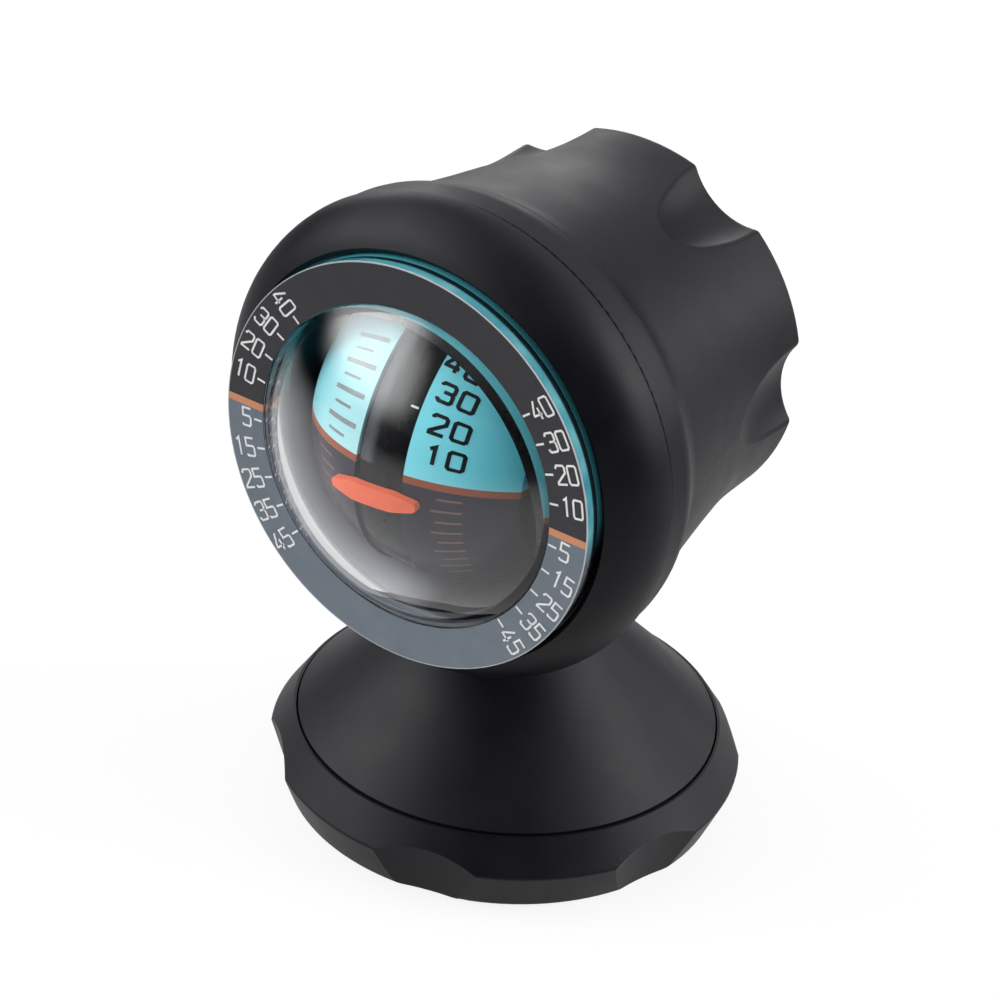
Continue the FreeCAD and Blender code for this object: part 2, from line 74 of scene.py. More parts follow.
def spread(material, factor, low, high):
    """Turns a factor into a plain value between two ends."""
    nodes = material.node_tree.nodes
    span = nodes.new("ShaderNodeMapRange")
    span.inputs["From Min"].default_value = 0.3     # the ends that such noise keeps within
    span.inputs["From Max"].default_value = 0.7
    span.inputs["To Min"].default_value = low
    span.inputs["To Max"].default_value = high
    material.node_tree.links.new(factor, span.inputs["Value"])
    return span.outputs["Result"]


def grain(material, size, height):
    """Fine relief of a moulded or rolled surface."""
    bump = material.node_tree.nodes.new("ShaderNodeBump")
    bump.inputs["Distance"].default_value = height
    bump.inputs["Strength"].default_value = 1.0
    material.node_tree.links.new(speckle(material, size), bump.inputs["Height"])
    material.node_tree.links.new(bump.outputs["Normal"], setting(material, "Normal"))


def patchy(material, size, low, high, dark, pale):
    """Slow variation of roughness and colour over the surface."""
    tree = material.node_tree
    factor = speckle(material, size)
    tree.links.new(spread(material, factor, low, high), setting(material, "Roughness"))
    mix = tree.nodes.new("ShaderNodeMix")
    mix.data_type = "RGBA"
    mix.inputs["A"].default_value = (*dark, 1)
    mix.inputs["B"].default_value = (*pale, 1)
    tree.links.new(spread(material, factor, 0.0, 1.0), mix.inputs["Factor"])
    tree.links.new(mix.outputs["Result"], setting(material, "Base Color"))


def dress(material, *names):
    """Gives a finish to nodes of the frame."""
    for name in names:
        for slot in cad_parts[name].material_slots:
            slot.material = material


moulded_black = new_finish("moulded_black", (0.006, 0.006, 0.008), 0.45)
grain(moulded_black, 0.00022, 0.000012)
patchy(moulded_black, 0.006, 0.43, 0.50, (0.0029, 0.0027, 0.0052), (0.0050, 0.0047, 0.0088))
setting(moulded_black, "Specular IOR Level").default_value = 0.21
dress(moulded_black, "foot", "cone_cover", "housing", "bezel")


# ---- Sticky pad ----------------------------------------------------------------------------------
# A round of closed-cell foam tape, die-cut and pressed into the foot's recess.

pad_foam = new_finish("pad_foam", (0.03, 0.03, 0.03), 0.9)
grain(pad_foam, 0.0004, 0.00006)
patchy(pad_foam, 0.0015, 0.82, 0.95, (0.02, 0.02, 0.02), (0.045, 0.045, 0.045))
dress(pad_foam, "adhesive_pad")


# ---- Ball joint and small steel parts ------------------------------------------------------------
# The ball stud is turned and bright-plated steel. The seat and the liner are natural nylon, and
# disc springs press them up against the ball. Screws, nut, washer, clip and weights are plated
# steel, the axles are blued and the bushes are brass.

bright_steel = new_finish("bright_steel", (0.56, 0.56, 0.57), 0.28)
setting(bright_steel, "Metallic").default_value = 1.0
grain(bright_steel, 0.0002, 0.000003)
patchy(bright_steel, 0.002, 0.22, 0.36, (0.5, 0.5, 0.51), (0.62, 0.62, 0.62))
dress(bright_steel, "ball_stud", "cover_screws", "seat_springs", "stud_washer", "stud_nut",
      "axle_clip", "plate_weight", "drum_weights")

blued_steel = new_finish("blued_steel", (0.03, 0.03, 0.035), 0.35)
setting(blued_steel, "Metallic").default_value = 1.0
grain(blued_steel, 0.0002, 0.000003)
patchy(blued_steel, 0.002, 0.3, 0.42, (0.022, 0.022, 0.027), (0.04, 0.04, 0.048))
dress(blued_steel, "roll_axle", "pitch_axle")

natural_nylon = new_finish("natural_nylon", (0.72, 0.70, 0.64), 0.5)
grain(natural_nylon, 0.0003, 0.000006)
patchy(natural_nylon, 0.004, 0.42, 0.56, (0.66, 0.64, 0.57), (0.76, 0.74, 0.69))
dress(natural_nylon, "ball_seat", "ball_liner")

bush_brass = new_finish("bush_brass", (0.75, 0.55, 0.25), 0.3)
setting(bush_brass, "Metallic").default_value = 1.0
grain(bush_brass, 0.0002, 0.000003)
patchy(bush_brass, 0.001, 0.24, 0.38, (0.68, 0.48, 0.2), (0.8, 0.6, 0.3))
dress(bush_brass, "rear_bush", "axle_bushes")

seal_rubber = new_finish("seal_rubber", (0.02, 0.02, 0.02), 0.75)
grain(seal_rubber, 0.0003, 0.00001)
patchy(seal_rubber, 0.003, 0.68, 0.82, (0.014, 0.014, 0.014), (0.028, 0.028, 0.028))
dress(seal_rubber, "clamp_gasket", "capsule_gasket")


# ---- Clear dome ----------------------------------------------------------------------------------
# Dome and flange are one clear acrylic moulding, polished. The flange's edge is bare and clear
# grey;
# in its upper part it carries a painted refraction of the blue float, in streaks, and next to the
# bezel it turns dark.

head_axis = 0.0614
dial_face = -0.028


def head_lengths(material):
    """Sockets for the place on the head: x across it, depth behind the dial's face, height above
    the head's axis and reach out from that axis."""
    nodes = material.node_tree.nodes
    links = material.node_tree.links
    places = nodes.new("ShaderNodeTexCoord")
    centred = nodes.new("ShaderNodeVectorMath")
    centred.operation = "SUBTRACT"
    centred.inputs[1].default_value = (0, dial_face, head_axis)
    links.new(places.outputs["Object"], centred.inputs[0])
    parts = nodes.new("ShaderNodeSeparateXYZ")
    links.new(centred.outputs["Vector"], parts.inputs["Vector"])
    flat = nodes.new("ShaderNodeCombineXYZ")
    links.new(parts.outputs["X"], flat.inputs["X"])
    links.new(parts.outputs["Z"], flat.inputs["Z"])
    length = nodes.new("ShaderNodeVectorMath")
    length.operation = "LENGTH"
    links.new(flat.outputs["Vector"], length.inputs[0])
    return {"x": parts.outputs["X"], "depth": parts.outputs["Y"], "height": parts.outputs["Z"],
            "reach": length.outputs["Value"]}


def between(material, value, low, high):
    """0 below low, 1 above high, smooth in the middle."""
    step = material.node_tree.nodes.new("ShaderNodeMapRange")
    step.interpolation_type = "SMOOTHSTEP"
    step.inputs["From Min"].default_value = low
    step.inputs["From Max"].default_value = high
    material.node_tree.links.new(value, step.inputs["Value"])
    return step.outputs["Result"]


def times(material, first, second):
    """Product of two values."""
    product = material.node_tree.nodes.new("ShaderNodeMath")
    product.operation = "MULTIPLY"
    material.node_tree.links.new(first, product.inputs[0])
    material.node_tree.links.new(second, product.inputs[1])
    return product.outputs["Value"]


def blend_colours(material, factor, first, second):
    """Mix of two colours; each is a triple or a colour socket."""
    mix = material.node_tree.nodes.new("ShaderNodeMix")
    mix.data_type = "RGBA"
    material.node_tree.links.new(factor, mix.inputs["Factor"])
    for socket, colour in ((mix.inputs["A"], first), (mix.inputs["B"], second)):
        if isinstance(colour, tuple):
            socket.default_value = (*colour, 1)
        else:
            material.node_tree.links.new(colour, socket)
    return mix.outputs["Result"]


def pass_lamps(material):
    """Lets lamps shine through a clear piece, so what is inside it is lit."""
    nodes = material.node_tree.nodes
    links = material.node_tree.links
    rays = nodes.new("ShaderNodeLightPath")
    clear = nodes.new("ShaderNodeBsdfTransparent")
    choose = nodes.new("ShaderNodeMixShader")
    links.new(rays.outputs["Is Shadow Ray"], choose.inputs["Fac"])
    links.new(nodes["Principled BSDF"].outputs["BSDF"], choose.inputs[1])
    links.new(clear.outputs["BSDF"], choose.inputs[2])
    links.new(choose.outputs["Shader"], nodes["Material Output"].inputs["Surface"])


clear_acrylic = new_finish("clear_acrylic", (0.97, 0.985, 0.99), 0.015)
setting(clear_acrylic, "IOR").default_value = 1.49
acrylic_place = head_lengths(clear_acrylic)
edge_of_flange = between(clear_acrylic, acrylic_place["reach"], 0.02645, 0.02655)
# Painted refraction: the blue float seen through the flange's upper edge, in streaks.
painted_blue_side = between(clear_acrylic, acrylic_place["height"], -0.004, 0.002)
painted_refraction_streaks = spread(clear_acrylic, speckle(clear_acrylic, 0.0035, 1.0), 0.0, 1.0)
painted_edge_blue = blend_colours(clear_acrylic, painted_refraction_streaks, (0.06, 0.33, 0.41), (0.20, 0.55, 0.62))
edge_grey_and_painted_blue = blend_colours(clear_acrylic, painted_blue_side, (0.16, 0.17, 0.19), painted_edge_blue)
near_bezel = between(clear_acrylic, acrylic_place["depth"], 0.0014, 0.0019)
edge_colour = blend_colours(clear_acrylic, near_bezel, edge_grey_and_painted_blue, (0.012, 0.022, 0.028))
clear_acrylic.node_tree.links.new(
    blend_colours(clear_acrylic, edge_of_flange, (0.97, 0.985, 0.99), edge_colour),
    setting(clear_acrylic, "Base Color"))
solid_edge = clear_acrylic.node_tree.nodes.new("ShaderNodeMapRange")
solid_edge.inputs["To Min"].default_value = 1.0
solid_edge.inputs["To Max"].default_value = 0.25
clear_acrylic.node_tree.links.new(edge_of_flange, solid_edge.inputs["Value"])
clear_acrylic.node_tree.links.new(solid_edge.outputs["Result"],
                                  setting(clear_acrylic, "Transmission Weight"))
pass_lamps(clear_acrylic)

lens_front = 0.00015             # depths behind the dial's face
lens_back = 0.0027
lens_edge_front = 0.0270
lens_edge_back = 0.0266
lens_root = 0.02155
lens_sphere = 0.0302
lens_centre_depth = 0.0214
lens_wall = 0.002
lens_edge_break = 0.00012
lens_steps = 24                  # along the section
lens_turns = 144                 # round the axis
weld_distance = 0.000002


def lens_arc(radius, depth):
    """Points of the lens's section from its axis out to a depth, as (distance, depth)."""
    end = math.acos((lens_centre_depth - depth) / radius)
    angles = [end * step / lens_steps for step in range(lens_steps + 1)]
    return [(radius * math.sin(angle), lens_centre_depth - radius * math.cos(angle))
            for angle in angles]


outer_root = lens_centre_depth - math.sqrt(lens_sphere ** 2 - lens_root ** 2)
section = lens_arc(lens_sphere, outer_root)
section += [(lens_root, lens_front), (lens_edge_front - lens_edge_break, lens_front),
            (lens_edge_front, lens_front + lens_edge_break), (lens_edge_back, lens_back)]
section += list(reversed(lens_arc(lens_sphere - lens_wall, lens_back)))
lens_shape = bmesh.new()
rim_points = [lens_shape.verts.new((reach, dial_face + depth, head_axis))
              for reach, depth in section]
rim_edges = [lens_shape.edges.new(pair) for pair in zip(rim_points, rim_points[1:])]
bmesh.ops.spin(lens_shape, geom=rim_points + rim_edges, cent=(0, 0, head_axis), axis=(0, 1, 0),
               angle=2 * math.pi, steps=lens_turns, use_merge=True)
bmesh.ops.remove_doubles(lens_shape, verts=lens_shape.verts[:], dist=weld_distance)
bmesh.ops.recalc_face_normals(lens_shape, faces=lens_shape.faces[:])
for face in lens_shape.faces:
    face.smooth = True
for edge in lens_shape.edges:
    edge.smooth = len(edge.link_faces) == 2 and edge.calc_face_angle() < math.radians(28)
lens_mesh = bpy.data.meshes.new("clear_dome")
lens_shape.to_mesh(lens_mesh)
lens_shape.free()


def finished_piece(name, mesh, material, body):
    """An object at the origin that rides on a body."""
    mesh.name = name
    piece = bpy.data.objects.new(name, mesh)
    bpy.context.collection.objects.link(piece)
    mesh.materials.clear()
    mesh.materials.append(material)
    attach(piece, body)
    return piece


clear_dome = finished_piece("clear_dome", lens_mesh, clear_acrylic, "head")
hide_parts("dome_lens")


# ---- Dial ring -----------------------------------------------------------------------------------
# A ring printed on the flange: charcoal above the horizontal and blue-grey below it, with an orange
# bar at each side. The ink is satin, with a very slight mottle. A thin light line round its outer
# rim is painted highlight.

dial_ink = new_finish("dial_ink", (0.06, 0.06, 0.07), 0.35)
dial_place = head_lengths(dial_ink)
below_bar = between(dial_ink, dial_place["height"], -0.00052, -0.00048)
above_bar = between(dial_ink, dial_place["height"], 0.00048, 0.00052)
lower_ink = blend_colours(dial_ink, spread(dial_ink, speckle(dial_ink, 0.004), 0, 1),
                          (0.125, 0.155, 0.19), (0.15, 0.18, 0.215))
upper_ink = blend_colours(dial_ink, spread(dial_ink, speckle(dial_ink, 0.004), 0, 1),
                          (0.017, 0.0165, 0.021), (0.022, 0.021, 0.026))
with_bar = blend_colours(dial_ink, below_bar, lower_ink, (0.60, 0.25, 0.12))
printed = blend_colours(dial_ink, above_bar, with_bar, upper_ink)
# Painted highlight: a thin light line round the ring's outer rim.
painted_rim_highlight = between(dial_ink, dial_place["reach"], 0.02684, 0.02690)
dial_ink.node_tree.links.new(blend_colours(dial_ink, painted_rim_highlight, printed, (0.42, 0.44, 0.47)),
                             setting(dial_ink, "Base Color"))
grain(dial_ink, 0.0003, 0.000002)
dress(dial_ink, "scale_ring")


# ---- Numbers and ticks on the dial ring ----------------------------------------------------------
# White screen-printed figures in a squarish technical hand, along radial lines: rising angles above
# the bars and falling angles below them, with a tick at the ring's inner edge for each.

figure_height = 0.00245
figure_width = 0.00125
figure_step = 0.00168
figure_stroke = 0.00027
ink_thickness = 0.00004
figure_start = 0.02345           # inner end of a number, from the head's axis
tick_ends = (0.0217, 0.0229)
upper_angles = (10, 20, 30, 40)
lower_angles = (5, 15, 25, 35, 45)

figure_strokes = {
    "0": [[(0.14, 0), (0.86, 0), (1, 0.1), (1, 0.9), (0.86, 1), (0.14, 1), (0, 0.9), (0, 0.1),
           (0.14, 0)]],
    "1": [[(0.2, 0.84), (0.55, 1), (0.55, 0)]],
    "2": [[(0, 0.82), (0, 0.9), (0.14, 1), (0.86, 1), (1, 0.9), (1, 0.62), (0, 0.1), (0, 0),
           (1, 0)]],
    "3": [[(0, 0.84), (0, 0.9), (0.14, 1), (0.86, 1), (1, 0.9), (1, 0.62), (0.84, 0.53),
           (0.3, 0.53)],
          [(0.84, 0.53), (1, 0.42), (1, 0.1), (0.86, 0), (0.14, 0), (0, 0.1), (0, 0.18)]],
    "4": [[(0.74, 0), (0.74, 0.62)], [(1, 0.26), (0, 0.26), (0, 0.36), (0.6, 1)]],
    "5": [[(1, 1), (0.04, 1), (0.04, 0.56), (0.86, 0.56), (1, 0.46), (1, 0.1), (0.86, 0),
           (0.12, 0), (0, 0.1)]],
}


def number_lines(text, width, height, step):
    """Stroke lines of a number, starting at the origin and written along X."""
    lines = []
    for place, figure in enumerate(text):
        for stroke in figure_strokes[figure]:
            lines.append([(place * step + x * width, y * height) for x, y in stroke])
    return lines


def turned_lines(lines, angle, shift):
    """Lines turned about the origin by an angle in degrees after a shift."""
    turn = Matrix.Rotation(math.radians(angle), 2)
    return [[tuple(turn @ (Vector(point) + Vector(shift))) for point in line] for line in lines]


def inked_mesh(name, lines, stroke, thickness):
    """Print on a flat sheet: lines raised into thin walls, then given the width of the stroke."""
    shape = bmesh.new()
    for line in lines:
        closed = line[0] == line[-1]
        corners = [shape.verts.new((x, y, 0)) for x, y in (line[:-1] if closed else line)]
        for start, end in zip(corners, corners[1:]):
            shape.edges.new((start, end))
        if closed:
            shape.edges.new((corners[-1], corners[0]))
    raised = bmesh.ops.extrude_edge_only(shape, edges=shape.edges[:])
    tops = [item for item in raised["geom"] if isinstance(item, bmesh.types.BMVert)]
    bmesh.ops.translate(shape, verts=tops, vec=(0, 0, thickness))
    bmesh.ops.recalc_face_normals(shape, faces=shape.faces[:])
    walls = bpy.data.meshes.new(name)
    shape.to_mesh(walls)
    shape.free()
    holder = bpy.data.objects.new(name, walls)
    bpy.context.collection.objects.link(holder)
    widen = holder.modifiers.new("stroke", "SOLIDIFY")
    widen.thickness = stroke
    widen.offset = 0
    widen.use_even_offset = True
    widened = holder.evaluated_get(bpy.context.evaluated_depsgraph_get())
    whole = bpy.data.meshes.new_from_object(widened)
    bpy.data.objects.remove(holder)
    return whole


ring_lines = []
for angle in upper_angles + tuple(-value for value in lower_angles):
    text = str(abs(angle))
    length = (len(text) - 1) * figure_step + figure_width
    written = number_lines(text, figure_width, figure_height, figure_step)
    ring_lines += turned_lines(written, angle, (figure_start, -figure_height / 2))
    ring_lines += turned_lines([[(tick_ends[0], 0), (tick_ends[1], 0)]], angle, (0, 0))
    ring_lines += turned_lines(written, -angle, (-figure_start - length, -figure_height / 2))
    ring_lines += turned_lines([[(-tick_ends[1], 0), (-tick_ends[0], 0)]], -angle, (0, 0))

ring_mesh = inked_mesh("dial_figures", ring_lines, figure_stroke, ink_thickness)
upright = Matrix.Rotation(math.radians(90), 4, "X")
ring_mesh.transform(Matrix.Translation((0, dial_face, head_axis)) @ upright)
white_ink = new_finish("white_ink", (0.82, 0.82, 0.83), 0.4)
patchy(white_ink, 0.001, 0.35, 0.5, (0.74, 0.74, 0.76), (0.88, 0.88, 0.88))
finished_piece("dial_figures", ring_mesh, white_ink, "head")


# ---- Painted refraction band at the dome's root --------------------------------------------------
# A thin sheet just inside the dome where it meets the dial, painted with the refracted view of the
# blue float through the flange: a black line, the float's blue over a painted orange horizon line
# and dark below it, then a broader black line. It is widest at the right and runs out to nothing at
# its ends.

refraction_band_sphere = 0.0280           # just inside the dome's inner surface
refraction_band_centre_depth = 0.0214
refraction_band_reach = 0.0213
refraction_band_width = 0.0030
refraction_band_first = -62               # degrees up from the right, where the band starts and ends
refraction_band_last = 150
refraction_band_taper = 0.7
refraction_band_slim_below = 10           # degrees under which it is slimmer still
refraction_band_slimmest = 0.45
refraction_band_turns = 120
refraction_band_stripes = (0.0, 0.10, 0.22, 0.34, 0.46, 0.58, 0.70, 0.76, 0.88, 1.0)
outer_line = 0.10                # shares of the width where the black lines end and start
inner_line = 0.72


def lining_point(angle, inwards):
    """Place on the dome's inside for an angle from the right and a share of the band's width."""
    share = (angle - refraction_band_first) / (refraction_band_last - refraction_band_first)
    width = refraction_band_width * math.sin(math.pi * share) ** refraction_band_taper
    if angle < refraction_band_slim_below:
        risen = (angle - refraction_band_first) / (refraction_band_slim_below - refraction_band_first)
        width *= refraction_band_slimmest + (1 - refraction_band_slimmest) * risen
    reach = refraction_band_reach - inwards * width
    depth = refraction_band_centre_depth - math.sqrt(refraction_band_sphere ** 2 - reach ** 2)
    turn = math.radians(angle)
    return Vector((reach * math.cos(turn), dial_face + depth, head_axis + reach * math.sin(turn)))


refraction_band_shape = bmesh.new()
bmesh.ops.create_grid(refraction_band_shape, x_segments=refraction_band_turns,
                      y_segments=len(refraction_band_stripes) - 1, size=1)
for corner in refraction_band_shape.verts:
    angle = refraction_band_first + 0.5 + (corner.co.x + 1) / 2 * (refraction_band_last - refraction_band_first - 1)
    stripe = round((corner.co.y + 1) / 2 * (len(refraction_band_stripes) - 1))
    corner.co = lining_point(angle, refraction_band_stripes[stripe])
refraction_band_mesh = bpy.data.meshes.new("painted_refraction_band")
for face in refraction_band_shape.faces:
    face.smooth = True
bmesh.ops.recalc_face_normals(refraction_band_shape, faces=refraction_band_shape.faces[:])
refraction_band_shape.to_mesh(refraction_band_mesh)
refraction_band_shape.free()
# Painted refraction of the float: its blue above a painted orange horizon line, dark below, between
# black lines.
painted_refraction_blue = new_finish("painted_refraction_blue", (0.10, 0.46, 0.54), 0.4)
blue_height = head_lengths(painted_refraction_blue)["height"]
painted_float_blue_and_ground = blend_colours(painted_refraction_blue, between(painted_refraction_blue, blue_height, 0.0004, 0.0007),
                            (0.03, 0.029, 0.034), (0.11, 0.50, 0.58))
painted_horizon_mask = times(painted_refraction_blue, between(painted_refraction_blue, blue_height, -0.0002, 0.0001),
                  between(painted_refraction_blue, blue_height, 0.0009, 0.0006))
painted_refraction_blue.node_tree.links.new(
    blend_colours(painted_refraction_blue, painted_horizon_mask, painted_float_blue_and_ground, (0.30, 0.09, 0.04)),
    setting(painted_refraction_blue, "Base Color"))
grain(painted_refraction_blue, 0.0003, 0.000002)
painted_refraction_black = new_finish("painted_refraction_black", (0.006, 0.006, 0.007), 0.3)
patchy(painted_refraction_black, 0.002, 0.25, 0.36, (0.005, 0.005, 0.006), (0.010, 0.010, 0.011))
finished_piece("painted_refraction_band", refraction_band_mesh, painted_refraction_blue, "head")
refraction_band_mesh.materials.append(painted_refraction_black)
for face in refraction_band_mesh.polygons:
    turn = math.degrees(math.atan2(face.center.z - head_axis, face.center.x))
    outer = lining_point(turn, 0.0).xz
    share = (face.center.xz - outer).length / (lining_point(turn, 1.0).xz - outer).length
    face.material_index = 1 if share < outer_line or share > inner_line else 0


# ---- Capsule cup and its seals -------------------------------------------------------------------
# The cup behind the dome is dark moulded plastic. Where it meets the dome it carries painted
# refraction of the blue float in its upper part, a darker painted teal at the upper left, and a
# pale painted reflection at the lower left. It is nearly black deeper in.

cup_plastic = new_finish("cup_plastic", (0.01, 0.01, 0.012), 0.3)
cup_place = head_lengths(cup_plastic)
# Painted refraction of the blue float on the front wall, darker teal at the upper left, and a
# painted pale reflection at the lower left.
painted_blue_area = times(cup_plastic, between(cup_plastic, cup_place["depth"], 0.0052, 0.0050),
                   between(cup_plastic, cup_place["height"], -0.003, 0.004))
painted_teal_area = times(cup_plastic, between(cup_plastic, cup_place["x"], -0.006, -0.012),
                  between(cup_plastic, cup_place["height"], 0.0, 0.006))
deep_colour = blend_colours(cup_plastic, painted_teal_area, (0.008, 0.008, 0.010), (0.03, 0.115, 0.14))
wall_with_painted_blue = blend_colours(cup_plastic, painted_blue_area, deep_colour, (0.08, 0.42, 0.50))
cup_lean = cup_plastic.node_tree.nodes.new("ShaderNodeMath")
cup_lean.operation = "ADD"
cup_plastic.node_tree.links.new(cup_place["x"], cup_lean.inputs[0])
cup_plastic.node_tree.links.new(cup_place["height"], cup_lean.inputs[1])
painted_pale_reflection_area = times(cup_plastic, between(cup_plastic, cup_lean.outputs["Value"], -0.018, -0.026),
                  between(cup_plastic, cup_place["depth"], 0.012, 0.005))
cup_plastic.node_tree.links.new(
    blend_colours(cup_plastic, painted_pale_reflection_area, wall_with_painted_blue, (0.84, 0.84, 0.94)),
    setting(cup_plastic, "Base Color"))
grain(cup_plastic, 0.0003, 0.000004)
dress(cup_plastic, "capsule_cup", "clamp_ring", "fill_plug")


# ---- Centre plate and pointer --------------------------------------------------------------------
# The plate is gloss black plastic and carries a small white index. The orange pointer is moulded in
# one piece with its stem and pressed into the plate.

plate_black = new_finish("plate_black", (0.008, 0.008, 0.009), 0.25)
setting(plate_black, "Specular IOR Level").default_value = 0.12
grain(plate_black, 0.0003, 0.0000003)
patchy(plate_black, 0.005, 0.2, 0.32, (0.006, 0.006, 0.007), (0.011, 0.011, 0.012))
plate_place = head_lengths(plate_black)
# Painted reflection: a grey strip on the plate's left side above the horizon.
painted_grey_reflection = times(plate_black, between(plate_black, plate_place["x"], -0.0006, -0.0022),
             between(plate_black, plate_place["height"], 0.0022, 0.0026))
plate_base = setting(plate_black, "Base Color")
plate_black.node_tree.links.new(
    blend_colours(plate_black, painted_grey_reflection, plate_base.links[0].from_socket, (0.10, 0.105, 0.115)),
    plate_base)
dress(plate_black, "centre_plate")

float_middle = -0.0129           # Y of the point that the plate and the drums turn about
plate_radius = 0.0196
index_ends = (0.0019, 0.0029)
index_stroke = 0.00028
index_lift = 0.00002
index_turn = math.radians(32)
index_mesh = inked_mesh("plate_index", [[(index_ends[0], 0), (index_ends[1], 0)]],
                        index_stroke, ink_thickness)
for corner in index_mesh.vertices:
    x, up, lift = corner.co
    reach = math.sqrt(plate_radius ** 2 - x ** 2) + lift + index_lift
    turn = index_turn + up / plate_radius
    corner.co = (x, float_middle - reach * math.cos(turn), head_axis + reach * math.sin(turn))
finished_piece("plate_index", index_mesh, white_ink, "roll_frame")

pointer_orange = new_finish("pointer_orange", (0.86, 0.10, 0.035), 0.4)
grain(pointer_orange, 0.0003, 0.000005)
patchy(pointer_orange, 0.002, 0.35, 0.48, (0.90, 0.125, 0.040), (0.98, 0.165, 0.060))
pointer_shape = bmesh.new()
pointer_shape.from_mesh(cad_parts["pointer"].data)
bmesh.ops.remove_doubles(pointer_shape, verts=pointer_shape.verts[:], dist=weld_distance)
for face in pointer_shape.faces:
    face.smooth = True
for edge in pointer_shape.edges:
    edge.smooth = len(edge.link_faces) == 2 and edge.calc_face_angle() < math.radians(30)
pointer_mesh = bpy.data.meshes.new("orange_pointer")
pointer_shape.to_mesh(pointer_mesh)
pointer_shape.free()
orange_pointer = finished_piece("orange_pointer", pointer_mesh, pointer_orange, "roll_frame")
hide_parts("pointer")
soften = orange_pointer.modifiers.new("edges", "BEVEL")
soften.width = 0.00022
soften.segments = 3
soften.limit_method = "ANGLE"
soften.angle_limit = math.radians(35)
soften.harden_normals = True


# ---- Slope drums ---------------------------------------------------------------------------------
# Two hollow zones of a ball, printed sky blue above an orange-brown horizon line and dark grey
# below it. The blue is paler towards the middle and whiter on the left drum, which is painted
# reflection of the lamps on the dome. The left one has bars and the right one numbers every ten
# degrees.

float_centre = Vector((0, float_middle, head_axis))
drum_radius = 0.020
horizon_turn = 6.8               # degrees by which the print's horizon stands up the drum
horizon_half = 0.00042
horizon_edge = 0.0001
drum_ground = (0.020, 0.017, 0.032)
drum_line = (0.33, 0.085, 0.035)


def drum_finish(name, sky_left, sky_right, edge):
    """Print of a drum: ground, horizon line and a sky that goes across X between two colours; the
    paler end is painted reflection.
    """
    material = new_finish(name, drum_ground, 0.3)
    nodes = material.node_tree.nodes
    links = material.node_tree.links
    places = nodes.new("ShaderNodeTexCoord")
    centred = nodes.new("ShaderNodeMapping")
    centred.vector_type = "TEXTURE"
    centred.inputs["Location"].default_value = float_centre
    centred.inputs["Rotation"].default_value = (math.radians(-horizon_turn), 0, 0)
    links.new(places.outputs["Object"], centred.inputs["Vector"])
    parts = nodes.new("ShaderNodeSeparateXYZ")
    links.new(centred.outputs["Vector"], parts.inputs["Vector"])
    sky = blend_colours(material, between(material, parts.outputs["X"], *edge), sky_left, sky_right)
    low = between(material, parts.outputs["Z"], -horizon_half - horizon_edge, -horizon_half)
    high = between(material, parts.outputs["Z"], horizon_half, horizon_half + horizon_edge)
    ground = blend_colours(material, spread(material, speckle(material, 0.003), 0, 1), drum_ground,
                           tuple(1.2 * value for value in drum_ground))
    lined = blend_colours(material, low, ground, drum_line)
    links.new(blend_colours(material, high, lined, sky), setting(material, "Base Color"))
    setting(material, "Specular IOR Level").default_value = 0.15
    grain(material, 0.0003, 0.0000002)
    return material


# Painted reflection: each drum's blue is paler towards the middle, and the left one is whiter.
right_print = drum_finish("right_drum_print", (0.27, 0.84, 0.95), (0.17, 0.72, 0.85),
                          (0.003, 0.015))
dress(right_print, "right_drum", "right_drum_cover")
left_print = drum_finish("left_drum_print", (0.28, 0.69, 0.76), (0.46, 0.80, 0.84),
                         (-0.015, -0.007))
dress(left_print, "left_drum", "left_drum_cover")


# ---- Print on the drums --------------------------------------------------------------------------
# Thin ink over the drums' blue and grey: black numbers on the right, grey bars on the left, long at
# the tens and short at the fives, and faint brown ones below the horizon.

bend_length = 0.0006             # longest straight side that is left when print is bent


def wrap_on_drum(mesh):
    """Bends a flat print, X across and Y up in metres of arc, over the drum."""
    shape = bmesh.new()
    shape.from_mesh(mesh)
    for _ in range(3):
        long_edges = [edge for edge in shape.edges if edge.calc_length() > bend_length]
        bmesh.ops.subdivide_edges(shape, edges=long_edges, cuts=1, use_grid_fill=True)
    for corner in shape.verts:
        x, up, lift = corner.co
        turn = up / drum_radius + math.radians(horizon_turn)
        reach = math.sqrt(drum_radius ** 2 - x ** 2) + lift
        corner.co = float_centre + Vector((x, -reach * math.cos(turn), reach * math.sin(turn)))
    shape.to_mesh(mesh)
    shape.free()
    return mesh


def arc(degrees):
    """Length up the drum for an angle from its horizon."""
    return drum_radius * math.radians(degrees)


number_height = 0.0023
number_width = 0.0017
number_step = 0.0026
number_stroke = 0.00047
number_rows = (("10", 11.3, 0.0077), ("20", 22.3, 0.0073), ("30", 33.7, 0.0068),
               ("40", 44.6, 0.0060))   # text, degrees above the horizon, X of its middle
drum_number_lines = []
for text, degrees, middle_x in number_rows:
    written = number_lines(text, number_width, number_height, number_step)
    start = middle_x - (number_step + number_width) / 2
    drum_number_lines += turned_lines(written, 0, (start, arc(degrees) - number_height / 2))
number_mesh = inked_mesh("drum_numbers", drum_number_lines, number_stroke, ink_thickness)
black_ink = new_finish("black_ink", (0.008, 0.010, 0.012), 0.35)
patchy(black_ink, 0.001, 0.3, 0.42, (0.006, 0.008, 0.010), (0.012, 0.014, 0.016))
finished_piece("drum_numbers", wrap_on_drum(number_mesh), black_ink, "slope_drum")

